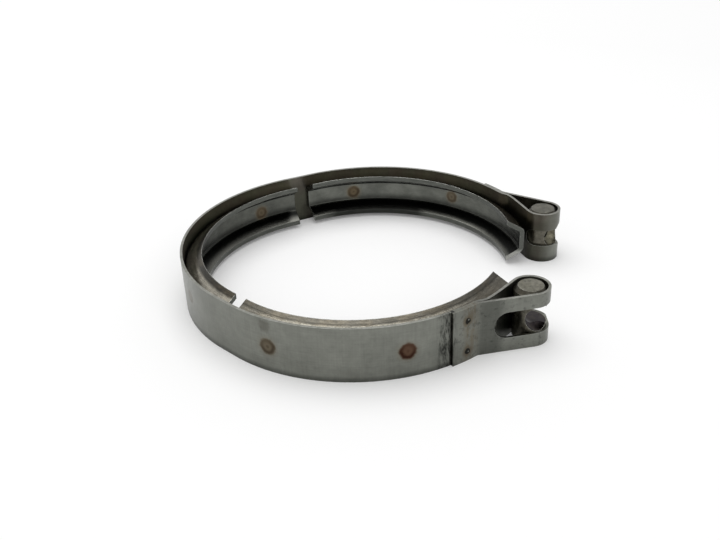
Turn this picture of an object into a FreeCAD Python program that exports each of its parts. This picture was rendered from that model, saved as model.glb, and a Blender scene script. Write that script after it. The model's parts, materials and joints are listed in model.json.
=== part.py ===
import FreeCAD, Part
import math
import os

import Sketcher

# V-band exhaust clamp, lying with the lower edge of its strap on the ground.
# +Z runs along the axis of the V groove. The origin is the centre of the left retainer's
# arc, on the middle plane of the groove. The strap's free ends point towards +X.
# Lengths are in millimetres and angles in degrees.

SIZES = {
    # Strap
    "band_width": 22.0,
    "band_thickness": 1.0,
    "band_radius": 65.5,
    # Three V-section retainers on the inside of the strap
    "retainer_thickness": 1.8,
    "web_height": 9.8,
    "flank_depth": 7.4,
    "flank_angle": 31.0,
    "bend_radius": 2.6,
    "seat_gap": 0.05,
    "left_middle_angle": 169.0,
    "left_span_angle": 115.0,
    "front_span_angle": 108.0,
    "rear_span_angle": 112.5,
    # Bare stretches of strap between the retainers, where the clamp springs open
    "front_gap": 5.45,
    "rear_gap": 6.8,
    "front_opening_angle": 7.3,
    "rear_opening_angle": 11.2,
    # Loops at the strap's ends, each folded round its trunnion and back onto the strap
    "trunnion_standoff": 2.4,
    "retainer_overhang": 6.06,
    "loop_clearance": 0.08,
    "leg_rise": 1.6,
    "joggle_radius": 6.0,
    "fold_distance": 21.15,
    "fold_radius": 3.0,
    "lap_length": 10.75,
    "lap_gap": 0.1,
    # Opening through each loop: a wide slot in the outer leg, a narrower one past the pin
    "slot_height": 10.7,
    "slot_reach": 16.0,
    "slot_floor": 2.5,
    "shank_slot_height": 7.0,
    "shank_slot_reach": 4.3,
    # Spot welds that hold each folded end to the strap
    "weld_radius": 1.6,
    "weld_pitch": 13.0,
    # Trunnions
    "trunnion_radius": 6.2,
    "trunnion_recess": 0.1,
    "trunnion_chamfer": 1.5,
    "bolt_slot_width": 7.0,
    "thread_radius": 2.5,
    "seat_radius": 5.2,
    "front_turn_angle": 294.7,
    "rear_turn_angle": 319.0,
}

doc = FreeCAD.newDocument("exhaust_clamp")
sheet = doc.addObject("Spreadsheet::Sheet", "Sizes")
for row, (alias, value) in enumerate(SIZES.items(), start=1):
    sheet.set("A%d" % row, alias)
    sheet.set("B%d" % row, str(value))
    sheet.setAlias("B%d" % row, alias)
doc.recompute()


def size(alias):
    """The value of one cell of the sheet."""
    return float(sheet.get(alias))


def polar(radius, degrees):
    """A point in the plan at this radius and angle from the origin."""
    angle = math.radians(degrees)
    return FreeCAD.Vector(radius * math.cos(angle), radius * math.sin(angle), 0)


def bearing(vector):
    """The plan angle of a vector, in degrees."""
    return math.degrees(math.atan2(vector.y, vector.x))


def turned(vector, degrees):
    """The vector turned about Z."""
    return FreeCAD.Rotation(FreeCAD.Vector(0, 0, 1), degrees).multVec(vector)


class Arc:
    """A stretch of the strap's middle line on a circle, from start to end in degrees.

    It runs anticlockwise where end is more than start, and clockwise where it is less."""

    def __init__(self, centre, radius, start, end):
        self.centre = centre
        self.radius = radius
        self.start = start
        self.end = end

    def offset(self, left):
        side = -left if self.end > self.start else left
        return Arc(self.centre, self.radius + side, self.start, self.end)

    def point(self, degrees):
        return self.centre + polar(self.radius, degrees)

    def ends(self):
        return self.point(self.start), self.point(self.end)

    def placed(self, base, degrees):
        return Arc(base + turned(self.centre, degrees), self.radius,
                   self.start + degrees, self.end + degrees)

    def mirrored(self):
        centre = FreeCAD.Vector(self.centre.x, -self.centre.y, 0)
        return Arc(centre, self.radius, -self.end, -self.start)

    def geometry(self):
        low, high = sorted((self.start, self.end))
        circle = Part.Circle(self.centre, FreeCAD.Vector(0, 0, 1), self.radius)
        return Part.ArcOfCircle(circle, math.radians(low), math.radians(high))


class Line:
    """A straight stretch of the strap's middle line."""

    def __init__(self, start, end):
        self.start = start
        self.end = end

    def offset(self, left):
        along = (self.end - self.start).normalize()
        across = turned(along, 90) * left
        return Line(self.start + across, self.end + across)

    def ends(self):
        return self.start, self.end

    def placed(self, base, degrees):
        return Line(base + turned(self.start, degrees), base + turned(self.end, degrees))

    def mirrored(self):
        flip = [FreeCAD.Vector(p.x, -p.y, 0) for p in (self.end, self.start)]
        return Line(*flip)

    def geometry(self):
        return Part.LineSegment(self.start, self.end)


# Radii of the strap's middle line
RING = size("band_radius") - size("band_thickness") / 2
LAP = size("band_radius") + size("lap_gap") + size("band_thickness") / 2
LOOP = size("trunnion_radius") + size("loop_clearance") + size("band_thickness") / 2
PIN_DISTANCE = size("band_radius") + size("trunnion_standoff") + size("trunnion_radius")


def along_ring(length):
    """The angle that a length along the strap's outside covers."""
    return math.degrees(length / size("band_radius"))


FOLD = along_ring(size("fold_distance"))
LAP_END = along_ring(size("fold_distance") + size("lap_length"))


def clockwise(start, end):
    """The end angle brought below the start angle, for a clockwise arc."""
    while end > start:
        end -= 360
    return end


def anticlockwise(start, end):
    """The end angle brought above the start angle, for an anticlockwise arc."""
    while end < start:
        end += 360
    return end


def free_end():
    """The strap's end past the last retainer, with its trunnion on +X.

    The strap is joggled out from the ring and passes inside the trunnion. It wraps round
    the trunnion and runs straight back, until it is folded flat onto the outside of the ring."""
    loop_centre = FreeCAD.Vector(PIN_DISTANCE, 0, 0)
    raised = RING + size("leg_rise")
    joggle = joggled_out(raised)
    leaving = math.degrees(math.acos((raised + LOOP) / PIN_DISTANCE))
    leg = Arc(FreeCAD.Vector(), raised, joggle[-1].end, -leaving)
    inner = Line(leg.ends()[1], loop_centre - polar(LOOP, -leaving))

    fold = size("fold_radius")
    fold_centre = polar(LAP + fold, -FOLD)
    reach = fold_centre - loop_centre
    swing = math.degrees(math.asin((LOOP + fold) / reach.Length))
    normal = turned(reach.normalize(), 90 - swing)
    outer = Line(loop_centre + normal * LOOP, fold_centre - normal * fold)

    wrap_start = bearing(inner.end - loop_centre)
    wrap = Arc(loop_centre, LOOP, wrap_start, clockwise(wrap_start, bearing(normal)))
    fold_start = bearing(outer.end - fold_centre)
    fold_end = anticlockwise(fold_start, bearing(fold_centre * -1))
    bend = Arc(fold_centre, fold, fold_start, fold_end)
    lap = Arc(FreeCAD.Vector(), LAP, -FOLD, -LAP_END)
    return joggle + [leg, inner, wrap, outer, bend, lap]


def joggled_out(raised):
    """Two equal bends that step the strap out to a larger radius, starting at the fold."""
    bend = size("joggle_radius")
    first = RING + bend
    second = raised - bend
    cosine = (first ** 2 + second ** 2 - (2 * bend) ** 2) / (2 * first * second)
    end = math.degrees(math.acos(cosine)) - FOLD
    away, back = polar(first, -FOLD), polar(second, end)
    away_start, back_start = 180 - FOLD, bearing(away - back)
    return [Arc(away, bend, away_start, clockwise(away_start, bearing(back - away))),
            Arc(back, bend, back_start, anticlockwise(back_start, end))]


def flexed(start, heading, length, turn):
    """A stretch of the given length that turns by turn degrees, left positive."""
    if abs(turn) < 0.01:
        return Line(start, start + polar(length, heading))
    radius = length / math.radians(abs(turn))
    side = 90 if turn > 0 else -90
    centre = start + polar(radius, heading + side)
    first = heading - side
    return Arc(centre, radius, first, first + turn)


class Layout:
    """Where the retainers' arcs and the trunnions lie in the plan."""

    def __init__(self):
        half = size("left_span_angle") / 2
        self.left_start = size("left_middle_angle") - half
        self.left_end = size("left_middle_angle") + half
        end = free_end()
        overhang = along_ring(size("retainer_overhang"))

        length = size("front_gap")
        turn = math.degrees(length / RING) - size("front_opening_angle")
        flex = flexed(polar(RING, self.left_end), self.left_end + 90, length, turn)
        self.front_start = self.left_end + turn
        self.front_centre = flex.ends()[1] - polar(RING, self.front_start)
        self.front_trunnion = self.front_start + size("front_span_angle") - overhang
        front = Arc(self.front_centre, RING, self.front_start, self.front_trunnion - FOLD)
        front_end = [piece.placed(self.front_centre, self.front_trunnion) for piece in end]

        length = size("rear_gap")
        turn = math.degrees(length / RING) - size("rear_opening_angle")
        back = flexed(polar(RING, -self.left_start), 90 - self.left_start, length, turn)
        rear_flex = back.mirrored()
        self.rear_end = self.left_start - turn
        self.rear_centre = rear_flex.ends()[0] - polar(RING, self.rear_end)
        self.rear_start = self.rear_end - size("rear_span_angle")
        self.rear_trunnion = self.rear_start + overhang
        rear = Arc(self.rear_centre, RING, self.rear_trunnion + FOLD, self.rear_end)
        rear_end = [piece.mirrored().placed(self.rear_centre, self.rear_trunnion)
                    for piece in reversed(end)]

        left = Arc(FreeCAD.Vector(), RING, self.left_start, self.left_end)
        self.path = rear_end + [rear, rear_flex, left, flex, front] + front_end
        self.front_pin = self.front_centre + polar(PIN_DISTANCE, self.front_trunnion)
        self.rear_pin = self.rear_centre + polar(PIN_DISTANCE, self.rear_trunnion)
        self.front_leg = front_end[-3]
        self.rear_leg = rear_end[2]


layout = Layout()


def body_named(label):
    body = doc.addObject("PartDesign::Body", label)
    body.Label = label
    return body


def sketch_on(body, role, name):
    """An empty sketch on one of the body's own origin planes."""
    plane = [item for item in body.Origin.OriginFeatures if item.Role == role][0]
    sketch = body.newObject("Sketcher::SketchObject", name)
    sketch.AttachmentSupport = [(plane, "")]
    sketch.MapMode = "FlatFace"
    return sketch


def close_outline(sketch, pieces):
    """Draws the pieces, in order round a closed outline, and joins their ends."""
    first = sketch.addGeometry([piece.geometry() for piece in pieces], False)[0]
    count = len(pieces)

    def vertex(index, at_end):
        piece = pieces[index]
        reverse = isinstance(piece, Arc) and piece.end < piece.start
        return first + index, (2 if at_end else 1) if not reverse else (1 if at_end else 2)

    for index in range(count):
        following = (index + 1) % count
        sketch.addConstraint(Sketcher.Constraint(
            "Coincident", *vertex(index, True), *vertex(following, False)))
    return first


def bind_radius(sketch, geometry_index, name, radius, expression):
    """Fixes the radius of one arc or circle to an expression of the sheet."""
    number = sketch.addConstraint(Sketcher.Constraint("Radius", geometry_index, radius))
    sketch.renameConstraint(number, name)
    sketch.setExpression("Constraints." + name, expression)


def bind_distance(sketch, direction, vertex, name, value, expression):
    """Fixes how far a vertex lies from the sketch's origin to an expression of the sheet."""
    number = sketch.addConstraint(Sketcher.Constraint(direction, -1, 1, *vertex, value))
    sketch.renameConstraint(number, name)
    sketch.setExpression("Constraints." + name, expression)


def reversed_piece(piece):
    if isinstance(piece, Line):
        return Line(piece.end, piece.start)
    return Arc(piece.centre, piece.radius, piece.end, piece.start)


def pocket(body, sketch, length, name):
    """Cuts the sketch from the body, half of the length to each side of its plane."""
    before = body.Shape.Volume
    cut = body.newObject("PartDesign::Pocket", name)
    cut.Profile = sketch
    cut.Midplane = True
    cut.setExpression("Length", length)
    doc.recompute()
    if body.Shape.Volume >= before:
        raise RuntimeError(name + " cuts nothing")
    return cut


def obround(start, end, half):
    """The outline of a slot along local X, round at its start and open at its end."""
    round_centre = FreeCAD.Vector(start + half, 0, 0)
    return [
        Arc(round_centre, half, 90, 270),
        Line(FreeCAD.Vector(start + half, -half, 0), FreeCAD.Vector(end, -half, 0)),
        Line(FreeCAD.Vector(end, -half, 0), FreeCAD.Vector(end, half, 0)),
        Line(FreeCAD.Vector(end, half, 0), FreeCAD.Vector(start + half, half, 0)),
    ]


def make_strap():
    body = body_named("band")
    half = size("band_thickness") / 2
    inside = [piece.offset(half) for piece in layout.path]
    outside = [reversed_piece(piece.offset(-half)) for piece in reversed(layout.path)]
    caps = [Line(inside[-1].ends()[1], outside[0].ends()[0]),
            Line(outside[-1].ends()[1], inside[0].ends()[0])]
    outline = inside + [caps[0]] + outside + [caps[1]]
    plan = sketch_on(body, "XY_Plane", "band_plan")
    first = close_outline(plan, outline)
    for index, piece in enumerate(outline):
        if isinstance(piece, Arc) and abs(piece.radius - size("band_radius")) < 1e-6:
            bind_radius(plan, first + index, "outer_%d" % index, piece.radius, "Sizes.band_radius")
    pad = body.newObject("PartDesign::Pad", "band_pad")
    pad.Profile = plan
    pad.Midplane = True
    pad.setExpression("Length", "Sizes.band_width")
    doc.recompute()

    for name, pin, leg in (("front", layout.front_pin, layout.front_leg),
                           ("rear", layout.rear_pin, layout.rear_leg)):
        start, end = leg.ends()
        if name == "front":
            start, end = end, start
        along = (end - start).normalize()
        from_pin = end - pin
        outward = (from_pin - along * from_pin.dot(along)).normalize()
        cut_slot(body, name, pin, bearing(along), outward)
        weld_lap(body, name)
    return body


def upright_sketch(body, name, base, along):
    """An empty sketch on the upright plane through base, with its local X at this bearing."""
    sketch = sketch_on(body, "XZ_Plane", name)
    sketch.AttachmentOffset = FreeCAD.Placement(
        FreeCAD.Vector(base.x, 0, -base.y), FreeCAD.Rotation(FreeCAD.Vector(0, 1, 0), along))
    return sketch


def cut_slot(body, name, pin, leg_bearing, outward):
    """The opening that lets the bolt through the loop.

    The slot is wide in the outer leg, ends in a round on the far side of the pin, and goes on
    narrower round the pin to the start of the inner leg."""
    far = LOOP * 2
    past = "Sizes.trunnion_radius + Sizes.loop_clearance + 2 * Sizes.band_thickness"
    past_loop = size("trunnion_radius") + size("loop_clearance") + 2 * size("band_thickness")
    middle = (size("slot_floor") + past_loop) / 2
    wide = upright_sketch(body, name + "_slot_outline", pin + outward * middle, leg_bearing)
    close_outline(wide, obround(-size("slot_reach"), far, size("slot_height") / 2))
    pocket(body, wide, past + " - Sizes.slot_floor", name + "_slot")

    end = upright_sketch(body, name + "_slot_end_outline", pin + polar(LOOP, leg_bearing),
                         leg_bearing + 90)
    offset = outward.dot(polar(size("slot_floor"), leg_bearing + 90))
    circle = Part.Circle(FreeCAD.Vector(offset, 0, 0), FreeCAD.Vector(0, 0, 1),
                         size("slot_height") / 2)
    bind_radius(end, end.addGeometry(circle, False), "end", size("slot_height") / 2,
                "Sizes.slot_height / 2")
    pocket(body, end, "2 * Sizes.trunnion_radius", name + "_slot_end")

    narrow = upright_sketch(body, name + "_shank_slot_outline", pin, leg_bearing)
    close_outline(narrow, obround(-size("shank_slot_reach"), far, size("shank_slot_height") / 2))
    pocket(body, narrow, "2 * (" + past + ")", name + "_shank_slot")


def weld_lap(body, name):
    """Two weld nuggets that bridge the thin gap between the folded end and the strap."""
    if name == "front":
        centre, angle, side = layout.front_centre, layout.front_trunnion, -1
    else:
        centre, angle, side = layout.rear_centre, layout.rear_trunnion, 1
    middle = (FOLD + LAP_END) / 2
    direction = angle + side * middle
    sketch = sketch_on(body, "YZ_Plane", name + "_weld_outline")
    for side_z in (-1, 1):
        circle = Part.Circle(FreeCAD.Vector(0, side_z * size("weld_pitch") / 2, 0),
                             FreeCAD.Vector(0, 0, 1), size("weld_radius"))
        index = sketch.addGeometry(circle, False)
        bind_radius(sketch, index, "weld_%s" % ("low" if side_z < 0 else "high"),
                    size("weld_radius"), "Sizes.weld_radius")
    base = centre + polar(size("band_radius") - size("band_thickness") / 2, direction)
    local = turned(base, -direction)
    turn = FreeCAD.Rotation(FreeCAD.Vector(0, 1, 0), direction)
    place = FreeCAD.Placement(FreeCAD.Vector(), turn).multiply(
        FreeCAD.Placement(FreeCAD.Vector(local.y, 0, local.x), FreeCAD.Rotation()))
    sketch.AttachmentOffset = place
    nugget = body.newObject("PartDesign::Pad", name + "_welds")
    nugget.Profile = sketch
    nugget.setExpression("Length", "Sizes.band_thickness + Sizes.lap_gap")
    doc.recompute()


def web_radius():
    """Radius of the outside of the retainers' web, which lies against the strap."""
    return size("band_radius") - size("band_thickness") - size("seat_gap")


def retainer_section():
    """The V section in the XZ plane: a web along the strap and two splayed flanks."""
    outer = web_radius()
    thickness = size("retainer_thickness")
    slope = math.radians(size("flank_angle"))
    root = size("web_height") / 2
    tip_radius = outer - size("flank_depth")
    tip = root + size("flank_depth") * math.tan(slope)
    inner_root = root - thickness * (1 - math.sin(slope)) / math.cos(slope)
    inner_tip = tip - thickness / math.cos(slope)
    corners = [(tip_radius, -tip, 0), (outer, -root, size("bend_radius")),
               (outer, root, size("bend_radius")), (tip_radius, tip, 0),
               (tip_radius, inner_tip, 0), (outer - thickness, inner_root, inside_bend()),
               (outer - thickness, -inner_root, inside_bend()), (tip_radius, -inner_tip, 0)]
    return rounded_outline(corners)


def inside_bend():
    """The bend's inner radius, which leaves the sheet at its full thickness."""
    return max(size("bend_radius") - size("retainer_thickness"), 0.1)


def rounded_outline(corners):
    """Lines and arcs through the corners, each given as x, y and rounding radius."""
    points = [FreeCAD.Vector(x, y, 0) for x, y, _ in corners]
    radii = [radius for _, _, radius in corners]
    count = len(points)
    arcs = []
    for index in range(count):
        here = points[index]
        back = (points[index - 1] - here).normalize()
        ahead = (points[(index + 1) % count] - here).normalize()
        if radii[index] == 0:
            arcs.append(None)
            continue
        half = back.getAngle(ahead) / 2
        centre = here + (back + ahead).normalize() * (radii[index] / math.sin(half))
        trim = radii[index] / math.tan(half)
        start, end = bearing(here + back * trim - centre), bearing(here + ahead * trim - centre)
        turns_left = (back * -1).cross(ahead).z > 0
        end = anticlockwise(start, end) if turns_left else clockwise(start, end)
        arcs.append(Arc(centre, radii[index], start, end))
    pieces = []
    for index in range(count):
        following = (index + 1) % count
        start = arcs[index].ends()[1] if arcs[index] else points[index]
        end = arcs[following].ends()[0] if arcs[following] else points[following]
        if arcs[index]:
            pieces.append(arcs[index])
        pieces.append(Line(start, end))
    return pieces


def make_retainer(label, centre, start, span_alias):
    body = body_named(label)
    section = sketch_on(body, "XZ_Plane", label + "_section")
    outline = retainer_section()
    first = close_outline(section, outline)
    for index, piece in enumerate(outline):
        if isinstance(piece, Arc):
            outside = piece.radius == size("bend_radius")
            bind_radius(section, first + index, "bend_%d" % index, piece.radius,
                        "Sizes.bend_radius" if outside else
                        "max(Sizes.bend_radius - Sizes.retainer_thickness; 0.1)")
        elif abs(piece.start.x - web_radius()) + abs(piece.end.x - web_radius()) < 1e-6:
            bind_distance(section, "DistanceX", (first + index, 1), "web", web_radius(),
                          "Sizes.band_radius - Sizes.band_thickness - Sizes.seat_gap")
    turn = body.newObject("PartDesign::Revolution", label + "_sweep")
    turn.Profile = section
    axis = [item for item in body.Origin.OriginFeatures if item.Role == "Z_Axis"][0]
    turn.ReferenceAxis = (axis, [""])
    turn.setExpression("Angle", "Sizes." + span_alias)
    doc.recompute()
    body.Placement = FreeCAD.Placement(centre, FreeCAD.Rotation(FreeCAD.Vector(0, 0, 1), start))
    doc.recompute()
    return body


def make_barrel(label):
    """A turned pin with chamfered ends, on its own Z axis."""
    body = body_named(label)
    radius = size("trunnion_radius")
    half = size("band_width") / 2 - size("trunnion_recess")
    chamfer = size("trunnion_chamfer")
    corners = [(0, -half, 0), (radius - chamfer, -half, 0), (radius, -half + chamfer, 0),
               (radius, half - chamfer, 0), (radius - chamfer, half, 0), (0, half, 0)]
    section = sketch_on(body, "XZ_Plane", label + "_section")
    first = close_outline(section, rounded_outline(corners))
    side = (first + 2, 1)
    bind_distance(section, "DistanceX", side, "radius", radius, "Sizes.trunnion_radius")
    bind_distance(section, "DistanceY", side, "lower_chamfer", chamfer - half,
                  "Sizes.trunnion_chamfer + Sizes.trunnion_recess - Sizes.band_width / 2")
    bind_distance(section, "DistanceY", (first + 3, 2), "length", half,
                  "Sizes.band_width / 2 - Sizes.trunnion_recess")
    turn = body.newObject("PartDesign::Revolution", label + "_turning")
    turn.Profile = section
    axis = [item for item in body.Origin.OriginFeatures if item.Role == "Z_Axis"][0]
    turn.ReferenceAxis = (axis, [""])
    turn.Angle = 360
    doc.recompute()
    return body


def cut_seat(body, label):
    """The round seat in the side that faces +X, for the head or nut of the bolt."""
    before = body.Shape.Volume
    seat = body.newObject("PartDesign::SubtractiveSphere", label + "_seat")
    seat.setExpression("Radius", "Sizes.seat_radius")
    plane = [item for item in body.Origin.OriginFeatures if item.Role == "XY_Plane"][0]
    seat.AttachmentSupport = [(plane, "")]
    seat.MapMode = "FlatFace"
    seat.AttachmentOffset = FreeCAD.Placement(
        FreeCAD.Vector(size("trunnion_radius"), 0, 0), FreeCAD.Rotation())
    doc.recompute()
    if body.Shape.Volume >= before:
        raise RuntimeError(label + " seat cuts nothing")


def make_trunnions():
    front = make_barrel("trunnion_front")
    outline = sketch_on(front, "YZ_Plane", "bolt_slot_outline")
    half = size("bolt_slot_width") / 2
    close_outline(outline, obround(-half, size("trunnion_radius") * 1.5, half))
    pocket(front, outline, "3 * Sizes.trunnion_radius", "bolt_slot")
    cut_seat(front, "trunnion_front")

    rear = make_barrel("trunnion_rear")
    outline = sketch_on(rear, "YZ_Plane", "thread_outline")
    circle = Part.Circle(FreeCAD.Vector(), FreeCAD.Vector(0, 0, 1), size("thread_radius"))
    bind_radius(outline, outline.addGeometry(circle, False), "thread", size("thread_radius"),
                "Sizes.thread_radius")
    pocket(rear, outline, "3 * Sizes.trunnion_radius", "thread_hole")
    cut_seat(rear, "trunnion_rear")

    for body, pin, turn in ((front, layout.front_pin, "front_turn_angle"),
                            (rear, layout.rear_pin, "rear_turn_angle")):
        body.Placement = FreeCAD.Placement(
            pin, FreeCAD.Rotation(FreeCAD.Vector(0, 0, 1), size(turn)))
    doc.recompute()
    return [front, rear]


nodes = [
    make_strap(),
    make_retainer("retainer_rear", layout.rear_centre, layout.rear_start, "rear_span_angle"),
    make_retainer("retainer_left", FreeCAD.Vector(), layout.left_start, "left_span_angle"),
    make_retainer("retainer_front", layout.front_centre, layout.front_start, "front_span_angle"),
] + make_trunnions()

doc.recompute()
for item in doc.Objects:
    if "Invalid" in item.State or "Error" in item.State:
        raise RuntimeError("failed: " + item.Name + " " + str(item.State))
for node in nodes:
    if node.Shape.isNull() or not node.Shape.isValid() or len(node.Shape.Solids) != 1:
        raise RuntimeError("bad shape: " + node.Label)

os.makedirs("parts", exist_ok=True)
for node in nodes:
    node.Shape.exportStep("parts/%s.step" % node.Label)
    print(node.Label, "volume %.1f" % node.Shape.Volume, node.Shape.BoundBox)
print("front pin", layout.front_pin, "rear pin", layout.rear_pin)
print("front centre", layout.front_centre, "rear centre", layout.rear_centre)
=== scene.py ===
import json
import math

import bpy
from mathutils import Matrix, Vector


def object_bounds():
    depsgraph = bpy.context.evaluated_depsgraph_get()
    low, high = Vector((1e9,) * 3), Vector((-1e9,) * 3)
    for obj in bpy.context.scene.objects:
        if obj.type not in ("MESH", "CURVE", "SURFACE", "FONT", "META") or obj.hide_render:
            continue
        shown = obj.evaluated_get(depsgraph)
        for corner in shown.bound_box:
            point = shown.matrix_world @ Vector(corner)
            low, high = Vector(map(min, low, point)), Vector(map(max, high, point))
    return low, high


# The looks of a used V-band exhaust clamp that lies on a pale floor, and its studio.
# Places and sizes on the clamp are in millimetres and plan angles in degrees, in the part's frame.
# Lamps, camera and floor are in metres.

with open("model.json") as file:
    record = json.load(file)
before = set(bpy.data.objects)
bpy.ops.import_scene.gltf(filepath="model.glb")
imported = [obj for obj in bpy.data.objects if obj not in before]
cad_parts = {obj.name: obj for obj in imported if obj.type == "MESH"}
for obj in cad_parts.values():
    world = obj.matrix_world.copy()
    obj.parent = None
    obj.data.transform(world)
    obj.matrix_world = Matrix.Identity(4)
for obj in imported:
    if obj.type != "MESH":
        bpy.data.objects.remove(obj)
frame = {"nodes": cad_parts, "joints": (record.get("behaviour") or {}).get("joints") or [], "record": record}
cad_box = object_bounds()

MM = 0.001

# Radii and heights of the strap and of the retainers inside it
STRAP_RADIUS = 65.5
STRAP_EDGE = 11.0
FOLDED_RADIUS = STRAP_RADIUS + 1.1
WEB_RADIUS = 62.65
WEB_EDGE = 3.9
RIDGE_RADIUS = 59.4
TIP_RADIUS = 57.05

# The pins: chamfers start at the shoulder, and the slot or hole stays below the neck's height
PIN_RADIUS = 6.2
PIN_SHOULDER = 9.4
NECK_HEIGHT = 7.0
THREAD_PITCH = 1.0

# Centres of the three arcs of the ring in the plan, and a middle for all of them. The strap's
# outside faces away from that middle by more than TURNED, and its inside towards it.
CENTRES = {"left": (0.0, 0.0), "front": (5.881, -5.830), "rear": (11.594, 5.187)}
RING_MIDDLE = (6.0, -1.0)
TURNED = 45.0

# Stretches of the strap, each from one plan angle to another
REAR_LOOP = (4.0, 27.0)
BESIDE_FOLD = (294.3, 299.4)
DULL_EDGES = (296.0, 311.0)
# Where the painted shade along the lower edge fades out
LOW_SHADE_FADES = (298.0, 301.0)
# A painted shadow beside the folded end's step
FOLD_STEP_SHADOW = (298.75, 299.75)
FRONT_LOOP = (299.0, 332.0)
FOLD_STAIN = (303.0, 308.0)
PAST_FOLD = (308.8, 315.0)

# Reflectance of the steel surfaces
STRAP_OUTSIDE = (0.176, 0.181, 0.160)
# The strap's inside: darker partly by heat tint and partly as painted shade
SHADED_STRAP_INSIDE = (0.108, 0.109, 0.084)
FLANK = (0.118, 0.111, 0.093)
# Colour of the painted highlight round the retainers' ridge
RIDGE_HIGHLIGHT = (0.330, 0.315, 0.265)
WEB = (0.118, 0.122, 0.108)
GROOVE = (0.165, 0.165, 0.148)
CUT_FACE = (0.092, 0.096, 0.086)
# Bare metal of cut and rubbed places, also used for painted highlights on edges
FRESH_CUT_AND_HIGHLIGHT = (0.480, 0.480, 0.450)
PIN_END = (0.125, 0.120, 0.092)
PIN_SIDE = (0.105, 0.099, 0.080)
# Near-black in the front pin's seat and slot: painted shade over a purple-grey tint
SHADED_SEAT = (0.026, 0.022, 0.024)
NECK = (0.120, 0.114, 0.084)

# Reflectance of tints, stains and dirt; the black also paints shade
SCORCH = (0.040, 0.030, 0.020)
BROWN = (0.092, 0.068, 0.040)
RUST = (0.074, 0.033, 0.017)
RUST_DARK = (0.026, 0.010, 0.006)
TAN = (0.150, 0.124, 0.082)
PURPLE = (0.088, 0.074, 0.066)
SOOT_AND_SHADE = (0.004, 0.0045, 0.004)

# The studio. The floor's glow rises between two distances from the part's origin.
FLOOR_SIZE = 30.0
FLOOR_GAP = 0.00002
FLOOR_COLOUR = (0.86, 0.86, 0.86)
FLOOR_GLOW = 0.12
FAR_FLOOR_GLOW = 0.53
GLOW_STARTS = 0.4
GLOW_ENDS = 2.5
WORLD_LIGHT = 0.55
LAMPS = {
    "overhead": {"location": (-0.15, 0.25, 1.1), "width": 1.2, "watts": 8.0},
    "front_fill": {"location": (0.5, -0.9, 0.7), "width": 0.7, "watts": 2.0},
}

# The camera, solved from the strap's edges in the photograph: place, angles in degrees and lens
CAMERA_PLACE = (0.00733, -0.32344, 0.17296)
CAMERA_YAW = -0.174
CAMERA_PITCH = 28.93
CAMERA_ROLL = -2.42
SENSOR_WIDTH = 36.0
LENS = 44.515


def on_arc(segment, radius, degrees, z):
    """A point on one arc of the ring."""
    angle = math.radians(degrees)
    x, y = CENTRES[segment]
    return (x + radius * math.cos(angle), y + radius * math.sin(angle), z)


def along(degrees):
    """The length along the strap from the middle of the left side to a plan angle."""
    return math.radians(degrees - 180.0) * STRAP_RADIUS


def hinge_place(name):
    """Where a hinge stands in the plan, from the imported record."""
    joint = next(joint for joint in frame["joints"] if joint["name"] == name)
    return tuple(place / MM for place in joint["pos_m"][:2])


def mount_named(name):
    """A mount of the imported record."""
    return next(mount for mount in frame["record"]["mounts"] if mount["name"] == name)


# Marks of the spot welds on the outside of the strap
STRAP_MARKS = [
    {"centre": on_arc("front", STRAP_RADIUS, 239.8, -0.4), "size": 3.3, "depth": 0.85,
     "dark_side": (0.6, 0.0, -0.8)},
    {"centre": on_arc("front", STRAP_RADIUS, 284.1, -0.1), "size": 3.2, "depth": 0.95,
     "patch": RUST, "scorch": RUST_DARK, "dark_side": (-0.3, 0.0, -0.95), "speck": 0.3},
    {"centre": on_arc("left", STRAP_RADIUS, 206.0, 1.5), "size": 2.6, "depth": 0.45},
]
SMUDGE = on_arc("front", STRAP_RADIUS, 239.2, 8.0)

# Weld nuggets on the folded end, each with the way from its middle to its painted glint
NUGGETS = [
    (on_arc("front", FOLDED_RADIUS, 304.4, 5.8), (0.35, 0.0, 0.35)),
    (on_arc("front", FOLDED_RADIUS, 304.4, -7.0), (0.5, 0.0, -0.2)),
]

# How the retainers differ:
# tip_level and root_level lighten or darken the outside of the flanks at tips and root as painted light and
# shade,
# groove_level does so in the groove, which painted shade turns black from one radius of black to the other,
# and up to its tips between the plan angles of black_to_tip,
# ridge is the strength of the painted highlight round the flank's ridge and of the dark seam beside it,
# ends gives two plan angles and the level at the first, for each darker end of the flanks,
# and marks gives the plan angle, height, size and depth of each spot weld's mark.
RETAINERS = {
    "left": {
        "tip_level": 0.3, "root_level": 2.1, "groove_level": 0.75, "black": (57.0, 60.3),
        "marks": [(127.5, -1.0, 2.9, 0.8)],
    },
    "front": {
        "tip_level": 0.85, "root_level": 1.15, "groove_level": 1.0, "black": (57.6, 60.8),
        "ridge": 0.85, "ends": [(229.0, 246.0, 0.8), (317.0, 303.0, 0.66)],
    },
    "rear": {
        "tip_level": 0.6, "root_level": 1.2, "groove_level": 1.0, "black": (56.6, 59.2),
        "black_to_tip": (64.0, 108.0),
        "marks": [(96.4, -0.2, 2.9, 1.0), (52.0, 0.9, 2.7, 0.75)],
    },
}

# Vector operations that give a number
GIVE_NUMBER = ("DISTANCE", "DOT_PRODUCT", "LENGTH")

WHITE = (1.0, 1.0, 1.0)


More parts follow.
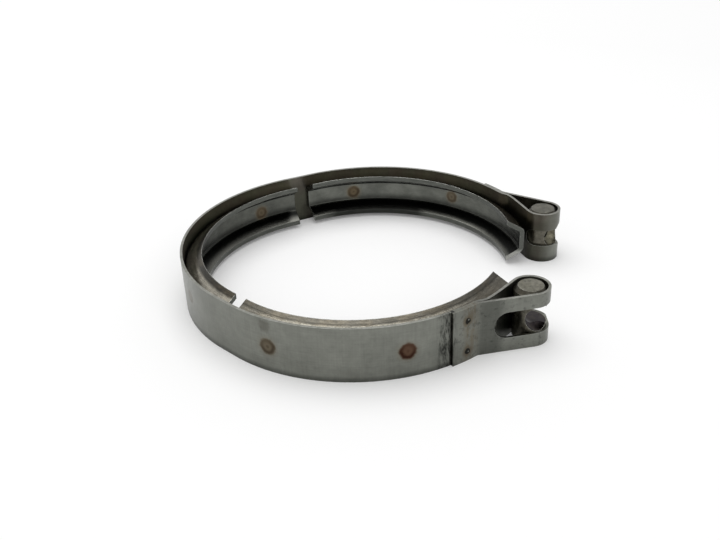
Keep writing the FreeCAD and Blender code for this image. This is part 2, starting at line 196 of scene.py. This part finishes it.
class Nodes:
    """Nodes of one tree, added with short calls.

    Every call takes numbers, colours or other nodes' outputs, and what it returns is an output,
    apart from add, which returns the node."""

    def __init__(self, tree):
        self.tree = tree

    def feed(self, socket, value):
        """Links an output to the socket, or sets it to a number or a colour."""
        if isinstance(value, bpy.types.NodeSocket):
            self.tree.links.new(value, socket)
        elif socket.type == "RGBA":
            socket.default_value = (*value, 1.0)
        else:
            socket.default_value = value

    def add(self, kind, *values, named=None, **settings):
        """A new node. The values fill its first sockets in order, and named ones go by name."""
        node = self.tree.nodes.new(kind)
        for name, setting in settings.items():
            setattr(node, name, setting)
        for socket, value in zip(node.inputs, values):
            self.feed(socket, value)
        for name, value in (named or {}).items():
            self.feed(node.inputs[name], value)
        return node

    def math(self, operation, *values):
        return self.add("ShaderNodeMath", *values, operation=operation).outputs[0]

    def vector(self, operation, *values):
        node = self.add("ShaderNodeVectorMath", *values, operation=operation)
        return node.outputs["Value" if operation in GIVE_NUMBER else "Vector"]

    def shade(self, colour, factor):
        """A colour or vector times a number."""
        node = self.add("ShaderNodeVectorMath", colour, named={"Scale": factor}, operation="SCALE")
        return node.outputs["Vector"]

    def split(self, vector):
        return self.add("ShaderNodeSeparateXYZ", vector).outputs

    def join(self, x, y, z):
        return self.add("ShaderNodeCombineXYZ", x, y, z).outputs[0]

    def times(self, first, *factors):
        """The product of several masks or numbers."""
        for factor in factors:
            first = self.math("MULTIPLY", first, factor)
        return first

    def without(self, *masks):
        """What the product of the masks leaves of 1."""
        return self.math("SUBTRACT", 1.0, self.times(*masks))

    def unsigned(self, value):
        return self.math("ABSOLUTE", value)

    def larger(self, first, second):
        return self.math("MAXIMUM", first, second)

    def ramp(self, value, low, high, to_low=0.0, to_high=1.0, shape="LINEAR"):
        """The value brought from one range to another, and held at both ends."""
        sockets = {"Value": value, "From Min": low, "From Max": high,
                   "To Min": to_low, "To Max": to_high}
        return self.add("ShaderNodeMapRange", named=sockets, interpolation_type=shape).outputs[0]

    def step(self, value, low, high, to_low=0.0, to_high=1.0):
        """A smooth step of the value from low to high."""
        return self.ramp(value, low, high, to_low, to_high, "SMOOTHSTEP")

    def band(self, value, low, high, soft):
        """A mask that is 1 from low to high, with soft borders."""
        return self.times(self.step(value, low - soft, low + soft),
                          self.step(value, high + soft, high - soft))

    def noise(self, vector, scale, detail=3.0, roughness=0.55):
        sockets = {"Vector": vector, "Scale": scale, "Detail": detail, "Roughness": roughness}
        return self.add("ShaderNodeTexNoise", named=sockets).outputs[0]

    def wander(self, value, pattern, amount):
        """The value moved up and down by a pattern, so that a border drawn with it wanders."""
        return self.math("ADD", value, self.times(self.math("SUBTRACT", pattern, 0.5), amount))

    def mix(self, factor, first, second):
        """The first colour where the factor is 0, and the second where it is 1."""
        node = self.add("ShaderNodeMix", factor, data_type="RGBA")
        colours = [socket for socket in node.inputs if socket.type == "RGBA"]
        self.feed(colours[0], first)
        self.feed(colours[1], second)
        return next(socket for socket in node.outputs if socket.type == "RGBA")

    def stain(self, colour, other, *masks):
        """The colour, turned to another where all the masks are 1."""
        return self.mix(self.times(*masks), colour, other)

    def vary(self, colour, pattern, amount):
        """The colour made darker and lighter by a pattern, by at most that share."""
        return self.shade(colour, self.step(pattern, 0.3, 0.7, 1.0 - amount, 1.0 + amount))

    def seen(self):
        """1 for the rays that show a thing: from the camera, off metal or through glass."""
        paths = self.add("ShaderNodeLightPath").outputs
        seen = self.larger(paths["Is Camera Ray"], paths["Is Glossy Ray"])
        return self.larger(seen, paths["Is Transmission Ray"])


class Finish(Nodes):
    """The material of a steel piece. Its rounding is the radius by which its edges look rounded."""

    rounding = 0.2

    def __init__(self, name):
        self.material = bpy.data.materials.new(name)
        self.material.use_nodes = True
        super().__init__(self.material.node_tree)
        self.shader = self.tree.nodes["Principled BSDF"]
        self.shader.inputs["Metallic"].default_value = 1.0
        coordinates = self.add("ShaderNodeTexCoord")
        self.point = self.shade(coordinates.outputs["Object"], 1 / MM)
        self.normal = coordinates.outputs["Normal"]
        self.upward = self.split(self.normal)[2]
        bevel = self.add("ShaderNodeBevel", self.rounding * MM, samples=6)
        self.rounded = bevel.outputs[0]
        true_normal = self.add("ShaderNodeNewGeometry").outputs["Normal"]
        turn = self.vector("DOT_PRODUCT", self.rounded, true_normal)
        self.edge = self.step(turn, 0.995, 0.88)

    def around(self, centre):
        """Length along the arc, radius and height about an upright axis.

        The length jumps at plan angle 0, in the clamp's open mouth."""
        x, y, z = self.split(self.vector("SUBTRACT", self.point, (*centre, 0.0)))
        angle = self.math("ARCTAN2", self.times(y, -1.0), self.times(x, -1.0))
        radius = self.vector("LENGTH", self.join(x, y, 0.0))
        return self.times(angle, STRAP_RADIUS), radius, z

    def facing(self, centre):
        """How far the surface faces away from an upright axis and round it, times the radius."""
        offset = self.vector("SUBTRACT", self.point, (*centre, 0.0))
        offset = self.vector("MULTIPLY", offset, (1.0, 1.0, 0.0))
        round_axis = self.vector("CROSS_PRODUCT", offset, (0.0, 0.0, 1.0))
        return (self.vector("DOT_PRODUCT", self.normal, offset),
                self.vector("DOT_PRODUCT", self.normal, round_axis))

    def stretch(self, arc, degrees, soft):
        """A mask that is 1 from one plan angle to another, with soft borders."""
        return self.band(arc, along(degrees[0]), along(degrees[1]), soft)

    def distance(self, place):
        return self.vector("DISTANCE", self.point, place)

    def weld_mark(self, colour, centre, size, depth, patch=BROWN, scorch=SCORCH,
                  dark_side=(0.0, 0.0, -1.0), speck=0.5):
        """A spot weld's stain: a patch of tint and a scorched ring, with painted shade darker on one side.
        """
        offset = self.vector("SUBTRACT", self.point, centre)
        reach = self.wander(self.times(self.vector("LENGTH", offset), 1 / size),
                            self.noise(self.point, 0.5, 4.0), 0.42)
        # Painted shade: the scorched ring is darkest towards dark_side
        side = self.times(self.vector("DOT_PRODUCT", offset, dark_side), 1 / size)
        shaded = self.step(side, -0.9, 0.5, 0.4, 1.0)
        colour = self.stain(colour, TAN, self.step(reach, 1.7, 0.8), 0.35 * depth)
        colour = self.stain(colour, patch, self.step(reach, 1.2, 0.8), 0.9 * depth)
        colour = self.stain(colour, scorch, self.band(reach, 0.55, 0.95, 0.2), shaded, 0.97 * depth)
        return self.stain(colour, scorch, self.step(reach, 0.28, 0.1), speck * depth)

    def relief(self, height, distance, normal):
        """A bump of that height in metres, on top of another normal."""
        sockets = {"Distance": distance, "Height": height, "Normal": normal}
        return self.add("ShaderNodeBump", named=sockets).outputs[0]

    def finish(self, colour, roughness, normal):
        for name, value in (("Base Color", colour), ("Roughness", roughness), ("Normal", normal)):
            self.feed(self.shader.inputs[name], value)
        return self.material


class Strap(Finish):
    """Satin rolled strip: fine scratches, heat tint, weld marks, dirt and sheared edges."""

    rounding = 0.16

    def __init__(self):
        super().__init__("strap_steel")
        self.arc, self.radius, self.z = self.around(CENTRES["front"])
        self.scratches = self.noise(
            self.join(self.times(self.arc, 1.5), 0.0, self.times(self.z, 0.06)), 1.0, 5.0, 0.65)
        self.rolled = self.noise(self.join(self.times(self.arc, 0.05), 0.0, self.z), 1.8, 5.0, 0.6)
        self.blotches = self.noise(self.point, 0.09, 4.0, 0.6)
        self.mottle = self.noise(self.point, 0.5, 5.0, 0.65)

    def bare(self):
        """Grey metal outside; darker metal inside with heat tint and painted shade, most below the top rim.
        """
        tint_and_shade = self.stain(SHADED_STRAP_INSIDE, PURPLE, self.step(self.blotches, 0.42, 0.62), 0.6)
        # Painted shade: the inside is darker below its top rim
        tint_and_shade = self.shade(tint_and_shade, self.step(self.z, 5.5, 10.0, 0.6, 1.0))
        outward = self.facing(RING_MIDDLE)[0]
        colour = self.mix(self.step(outward, TURNED, -TURNED), STRAP_OUTSIDE, tint_and_shade)
        for pattern, amount in ((self.scratches, 0.05), (self.rolled, 0.05),
                                (self.blotches, 0.10), (self.mottle, 0.06)):
            colour = self.vary(colour, pattern, amount)
        return colour

    def marked(self, colour):
        """Weld marks, and a smudge above one of them."""
        for mark in STRAP_MARKS:
            colour = self.weld_mark(colour, **mark)
        reach = self.wander(self.distance(SMUDGE), self.mottle, 3.0)
        return self.stain(colour, SCORCH, self.step(reach, 3.6, 1.2), 0.35)

    def dirty(self, colour):
        """Painted shade low down and by the fold's step; dirt in the rear loop and all round the front fold.
        """
        # Painted shade: darker along the lower edge before the fold, standing in for the floor's reflected
        # shadow
        start, end = LOW_SHADE_FADES
        before_fold = self.step(self.arc, along(end), along(start))
        low = self.step(self.z, 2.7 - STRAP_EDGE, 0.6 - STRAP_EDGE)
        colour = self.stain(colour, SOOT_AND_SHADE, before_fold, low, 0.45)
        colour = self.stain(colour, SCORCH, self.stretch(self.arc, REAR_LOOP, 2.0),
                            self.step(self.z, -2.0, 2.0), 0.3)

        fuzzy = self.noise(
            self.join(self.times(self.arc, 0.8), 0.0, self.times(self.z, 0.16)), 1.0, 6.0, 0.75)
        colour = self.stain(colour, SOOT_AND_SHADE, self.stretch(self.arc, BESIDE_FOLD, 1.6),
                            self.step(fuzzy, 0.42, 0.58), self.step(self.mottle, 0.25, 0.55), 0.85)
        # Painted shadow: black beside the folded end's step, on the strap that is not folded
        not_folded = self.step(self.radius, STRAP_RADIUS + 0.5, STRAP_RADIUS + 0.2)
        colour = self.stain(colour, SOOT_AND_SHADE, self.stretch(self.arc, FOLD_STEP_SHADOW, 0.15), not_folded, 0.97)
        colour = self.stain(colour, SOOT_AND_SHADE, self.stretch(self.arc, PAST_FOLD, 1.6), 0.42)
        colour = self.stain(colour, SOOT_AND_SHADE, self.stretch(self.arc, FRONT_LOOP, 1.0),
                            self.step(self.mottle, 0.5, 0.68), 0.42)
        heat = self.mix(self.step(self.z, 3.0, 9.0), TAN, BROWN)
        return self.stain(colour, heat, self.stretch(self.arc, FOLD_STAIN, 1.6),
                          self.step(fuzzy, 0.38, 0.6), 0.6)

    def welded(self, colour):
        """Weld nuggets on the folded end: a brown stain, a black dimple and a painted glint in each."""
        for place, to_glint in NUGGETS:
            reach = self.wander(self.distance(place), self.mottle, 1.6)
            colour = self.stain(colour, BROWN, self.step(reach, 3.0, 1.4), 0.6)
            colour = self.stain(colour, SOOT_AND_SHADE, self.step(reach, 1.45, 1.0), 0.94)
            # Painted glint: a small spot of the bare outside colour in each black dimple
            from_glint = self.distance(Vector(place) + Vector(to_glint))
            colour = self.stain(colour, STRAP_OUTSIDE, self.step(from_glint, 0.5, 0.32))
        return colour

    def worn(self, colour):
        """Both rims and the edges, bright by wear and a painted highlight, except round the folded end."""
        rim = self.times(self.step(self.unsigned(self.upward), 0.6, 0.95),
                         self.step(self.unsigned(self.z), STRAP_EDGE - 0.8, STRAP_EDGE - 0.3), 0.5)
        rubbed = self.step(self.noise(self.point, 0.6, 4.0), 0.3, 0.65, 0.2, 0.6)
        not_dull = self.without(self.stretch(self.arc, DULL_EDGES, 3.0), 0.75)
        # Painted highlight and wear: rims and edges brightened
        return self.stain(colour, FRESH_CUT_AND_HIGHLIGHT, self.larger(rim, self.edge), rubbed, not_dull)

    def painted(self):
        colour = self.worn(self.welded(self.dirty(self.marked(self.bare()))))
        roughness = self.step(self.mottle, 0.25, 0.75, 0.28, 0.38)
        return self.finish(colour, roughness, self.relief(self.scratches, 0.01 * MM, self.rounded))


class Retainer(Finish):
    """Pressed and rolled sheet: streaks round the ring, a groove in painted shade and cut edges."""

    rounding = 0.3

    def __init__(self, segment):
        super().__init__(f"{segment}_retainer_steel")
        self.segment = segment
        self.arc, self.radius, self.z = self.around(CENTRES[segment])
        away, round_axis = self.facing(CENTRES[segment])
        self.outward = self.math("DIVIDE", away, self.radius)
        self.sideways = self.math("DIVIDE", round_axis, self.radius)
        self.streaks = self.grain(0.06, 2.4, 5.0, 0.65)
        self.mottle = self.grain(0.4, 0.9, 5.0, 0.65)
        self.sparkle = self.grain(0.5, 3.2, 4.0, 0.7)
        self.patches = self.noise(self.point, 0.11, 4.0, 0.6)
        # How black painted shade makes the groove up to its tips, from 0 to 1
        self.deep = 0.0

    def grain(self, along_arc, scale, detail, roughness):
        """A noise drawn out round the ring: the less of the arc it takes, the longer."""
        place = self.join(self.times(self.arc, along_arc), self.radius, self.z)
        return self.noise(place, scale, detail, roughness)

    def flanks(self, tip_level, root_level, ridge, ends):
        """Outside of the flanks: painted light and shade at tips and root, a painted highlight on the ridge.
        """
        # Painted light and shade: the tips and the root lightened or darkened by their levels
        level = self.step(self.radius, RIDGE_RADIUS - 0.7, RIDGE_RADIUS + 0.5, tip_level, root_level)
        colour = self.shade(FLANK, level)
        colour = self.stain(colour, TAN, self.step(self.patches, 0.42, 0.6), 0.25)
        for pattern, amount in ((self.streaks, 0.22), (self.mottle, 0.2), (self.sparkle, 0.22)):
            colour = self.vary(colour, pattern, amount)

        radius = self.wander(self.radius, self.mottle, 0.9)
        # Painted highlight: a bright stripe round the ridge
        ridge_glint = self.times(self.band(radius, RIDGE_RADIUS - 0.05, RIDGE_RADIUS + 0.5, 0.25),
                          self.step(self.sparkle, 0.4, 0.6), ridge)
        seam = self.band(radius, RIDGE_RADIUS - 0.85, RIDGE_RADIUS - 0.5, 0.2)
        for first, last, end_level in ends:
            colour = self.shade(colour, self.step(self.arc, along(first), along(last), end_level, 1.0))
            ridge_glint = self.times(ridge_glint, self.step(self.arc, along(first), along(last), 0.15, 1.0))
        colour = self.stain(colour, RIDGE_HIGHLIGHT, ridge_glint)
        return self.stain(colour, SOOT_AND_SHADE, seam, 0.5 * ridge)

    def groove(self, groove_level, black, marks):
        """The groove in painted shade: a web darker towards its bottom, and flanks black at their root."""
        flank = self.step(self.unsigned(self.z), WEB_EDGE, WEB_EDGE + 0.6)
        # Painted shade: the web darkens towards its bottom
        web = self.shade(WEB, self.step(self.z, -4.2, -0.5, 0.32, 1.0))
        colour = self.mix(flank, self.vary(web, self.mottle, 0.08), GROOVE)
        # Painted shade: groove_level darkens the whole groove
        colour = self.vary(self.shade(colour, groove_level), self.patches, 0.2)
        # Painted shade: the flanks in the groove go black from their root
        root = self.step(self.wander(self.radius, self.patches, 2.5), *black)
        colour = self.stain(colour, SOOT_AND_SHADE, flank, self.larger(root, self.times(self.deep, 0.93)), 0.97)
        for degrees, height, size, depth in marks:
            centre = on_arc(self.segment, WEB_RADIUS, degrees, height)
            colour = self.weld_mark(colour, centre, size, depth, dark_side=(0.5, 0.0, -0.8))
        return colour

    def cut(self, colour):
        """Dull cut faces at the ends and along the tips, with painted shade where the groove is black."""
        end_face = self.step(self.unsigned(self.sideways), 0.7, 0.9)
        tip_face = self.times(self.step(self.outward, -0.8, -0.95),
                              self.step(self.radius, TIP_RADIUS + 0.5, TIP_RADIUS + 0.2))
        face = self.stain(CUT_FACE, FRESH_CUT_AND_HIGHLIGHT, end_face, self.step(self.z, -4.0, -6.0), 0.6)
        # Painted shade: the cut faces darken where the groove is black up to its tips
        face = self.stain(face, SOOT_AND_SHADE, self.deep, self.step(self.z, 2.0, -2.0), 0.7)
        return self.mix(self.larger(end_face, tip_face), colour, self.vary(face, self.streaks, 0.3))

    def worn(self, colour):
        """Corners made bright by wear and a painted highlight, most of all those of the outer faces."""
        rubbed = self.step(self.noise(self.point, 0.6, 3.0), 0.3, 0.6, 0.3, 1.0)
        # Painted highlight: the outer corners brightest, less where painted shade blackens the groove
        outer = self.times(self.split(self.rounded)[2], self.z)
        outer_corner = self.step(outer, -1.0, 2.5, 0.25, 1.0)
        out_of_shade = self.without(self.deep, self.step(self.z, 2.0, -2.0), 0.8)
        return self.stain(colour, FRESH_CUT_AND_HIGHLIGHT, self.edge, rubbed, outer_corner, out_of_shade)

    def painted(self, tip_level, root_level, groove_level, black, black_to_tip=None, ridge=0.0,
                ends=(), marks=()):
        if black_to_tip:
            self.deep = self.stretch(self.arc, black_to_tip, 4.0)
        in_groove = self.step(self.outward, 0.2, -0.2)
        colour = self.mix(in_groove, self.flanks(tip_level, root_level, ridge, ends),
                          self.groove(groove_level, black, marks))
        roughness = self.step(self.streaks, 0.25, 0.75, 0.18, 0.28)
        bump = self.step(self.outward, 0.2, -0.2, 0.02 * MM, 0.003 * MM)
        return self.finish(self.worn(self.cut(colour)), roughness,
                           self.relief(self.streaks, bump, self.rounded))


class Pin(Finish):
    """Turned steel: lathe rings on the ends, a dull mottled side and a neck of its own colour."""

    def __init__(self, name, hinge):
        super().__init__(name)
        self.offset = self.vector("SUBTRACT", self.point, (*hinge_place(hinge), 0.0))
        x, y, self.z = self.split(self.offset)
        self.height = self.unsigned(self.z)
        self.radius = self.vector("LENGTH", self.join(x, y, 0.0))
        self.mottle = self.noise(self.point, 0.7, 5.0, 0.65)
        self.patches = self.noise(self.point, 0.22, 3.0, 0.6)

    def turned(self, end_level, neck):
        """Ends, side, and what lies inside the pin's outline: a slot's seat or a hole."""
        rings = self.noise(self.join(self.radius, 0.0, self.times(self.z, 0.8)), 2.2, 3.0)
        end = self.times(self.step(self.unsigned(self.upward), 0.85, 0.98),
                         self.step(self.height, PIN_SHOULDER - 0.8, PIN_SHOULDER - 0.4))
        in_neck = self.times(self.step(self.radius, PIN_RADIUS - 0.12, PIN_RADIUS - 0.3),
                             self.step(self.height, NECK_HEIGHT + 0.2, NECK_HEIGHT - 0.2))
        rubbed = self.stain(PIN_END, FRESH_CUT_AND_HIGHLIGHT, self.step(self.patches, 0.4, 0.65), 0.14)
        colour = self.mix(end, self.mix(in_neck, PIN_SIDE, neck), self.shade(rubbed, end_level))
        colour = self.vary(self.vary(colour, rings, 0.10), self.mottle, 0.3)
        colour = self.stain(colour, self.shade(TAN, 0.6), self.step(self.patches, 0.4, 0.7), 0.25)
        # Painted shade in the chamfer round each end
        chamfer = self.step(self.height, PIN_SHOULDER - 0.1, PIN_SHOULDER + 0.3)
        colour = self.stain(colour, SOOT_AND_SHADE, chamfer, self.without(end), 0.5)
        # Edges made bright by wear and a painted highlight
        return self.stain(colour, FRESH_CUT_AND_HIGHLIGHT, self.edge, self.step(self.patches, 0.35, 0.6, 0.1, 0.8))

    def threaded(self, colour, normal, mount):
        """A fine thread in the pin's cross hole, as relief, and painted shade darkening the hole's inside.
        """
        across = mount["axis"]
        bore_radius = mount["dims"]["r_mm"]
        axial = self.vector("DOT_PRODUCT", self.offset, across)
        sideways = self.vector("DOT_PRODUCT", self.offset, (-across[1], across[0], 0.0))
        from_bore = self.vector("LENGTH", self.join(sideways, self.z, 0.0))
        bore = self.step(from_bore, bore_radius + 0.15, bore_radius)
        spiral = self.math("DIVIDE", self.math("ARCTAN2", sideways, self.z), 2 * math.pi)
        turns = self.math("ADD", self.math("DIVIDE", axial, THREAD_PITCH), spiral)
        thread = self.times(self.math("SINE", self.times(turns, 2 * math.pi)), bore)
        # Painted shade inside the hole
        return self.stain(colour, SOOT_AND_SHADE, bore, 0.6), self.relief(thread, 0.4 * MM, normal)

    def painted(self, end_level, neck, thread=None):
        colour = self.turned(end_level, neck)
        normal = self.relief(self.mottle, 0.04 * MM, self.rounded)
        if thread:
            colour, normal = self.threaded(colour, normal, thread)
        return self.finish(colour, self.step(self.mottle, 0.25, 0.75, 0.26, 0.40), normal)


def dress(node, material):
    """Gives a piece its material."""
    for slot in frame["nodes"][node].material_slots:
        slot.material = material


def dress_clamp():
    """Gives every piece of the clamp its finish."""
    dress("band", Strap().painted())
    for segment, looks in RETAINERS.items():
        dress(f"retainer_{segment}", Retainer(segment).painted(**looks))
    # The front pin's neck, its seat and slot, is near-black painted shade
    dress("trunnion_front", Pin("front_pin_steel", "front_pin_turn").painted(0.95, SHADED_SEAT))
    rear_pin = Pin("rear_pin_steel", "rear_pin_turn")
    dress("trunnion_rear", rear_pin.painted(0.62, NECK, mount_named("bolt_thread")))


def studio_floor():
    """A pale floor that looks white to the camera and in the metal, with the shadow kept.

    Far from the lamps it glows more, so that it stays as white as near the clamp."""
    lowest = cad_box[0][2]
    bpy.ops.mesh.primitive_plane_add(size=FLOOR_SIZE, location=(0.0, 0.0, lowest - FLOOR_GAP))
    floor = bpy.context.object
    floor.name = "floor"
    material = bpy.data.materials.new("pale_floor")
    material.use_nodes = True
    material.node_tree.nodes.clear()
    nodes = Nodes(material.node_tree)
    distance = nodes.vector("LENGTH", nodes.add("ShaderNodeTexCoord").outputs["Object"])
    glow = nodes.ramp(distance, GLOW_STARTS, GLOW_ENDS, FLOOR_GLOW, FAR_FLOOR_GLOW)
    emission = nodes.add("ShaderNodeEmission", named={"Strength": nodes.times(glow, nodes.seen())})
    diffuse = nodes.add("ShaderNodeBsdfDiffuse", FLOOR_COLOUR)
    both = nodes.add("ShaderNodeAddShader", diffuse.outputs[0], emission.outputs[0])
    nodes.add("ShaderNodeOutputMaterial", both.outputs[0])
    floor.data.materials.append(material)


def studio_world():
    """Plain light from all round, and a white background that the metal shows too."""
    world = bpy.data.worlds.new("studio")
    bpy.context.scene.world = world
    world.use_nodes = True
    nodes = Nodes(world.node_tree)
    background = nodes.tree.nodes["Background"]
    nodes.feed(background.inputs["Color"], WHITE)
    nodes.feed(background.inputs["Strength"], nodes.ramp(nodes.seen(), 0.0, 1.0, WORLD_LIGHT, 1.0))


def soft_lamp(name, location, width, watts):
    """A square area lamp that looks at the clamp."""
    data = bpy.data.lights.new(name, "AREA")
    data.size = width
    data.energy = watts
    lamp = bpy.data.objects.new(name, data)
    lamp.location = location
    lamp.rotation_mode = "QUATERNION"
    lamp.rotation_quaternion = (-Vector(location)).to_track_quat("-Z", "Y")
    bpy.context.scene.collection.objects.link(lamp)


def photo_camera():
    """The camera, at the photograph's viewing angle."""
    yaw, pitch, roll = (math.radians(angle) for angle in (CAMERA_YAW, CAMERA_PITCH, CAMERA_ROLL))
    level = Vector((math.sin(yaw), math.cos(yaw), 0.0))
    ahead = level * math.cos(pitch) - Vector((0.0, 0.0, math.sin(pitch)))
    right = Vector((math.cos(yaw), -math.sin(yaw), 0.0))
    up = right.cross(ahead)
    rolled_right = math.cos(roll) * right + math.sin(roll) * up
    rolled_up = math.cos(roll) * up - math.sin(roll) * right
    turn = Matrix((rolled_right, rolled_up, -ahead)).transposed().to_4x4()
    data = bpy.data.cameras.new("camera")
    data.sensor_width = SENSOR_WIDTH
    data.lens = LENS
    data.clip_start = 0.01
    data.clip_end = 20.0
    camera = bpy.data.objects.new("camera", data)
    camera.matrix_world = Matrix.Translation(CAMERA_PLACE) @ turn
    bpy.context.scene.collection.objects.link(camera)
    bpy.context.scene.camera = camera


dress_clamp()
studio_floor()
studio_world()
for name, lamp in LAMPS.items():
    soft_lamp(name, **lamp)
photo_camera()
bpy.context.scene.view_settings.view_transform = "Standard"
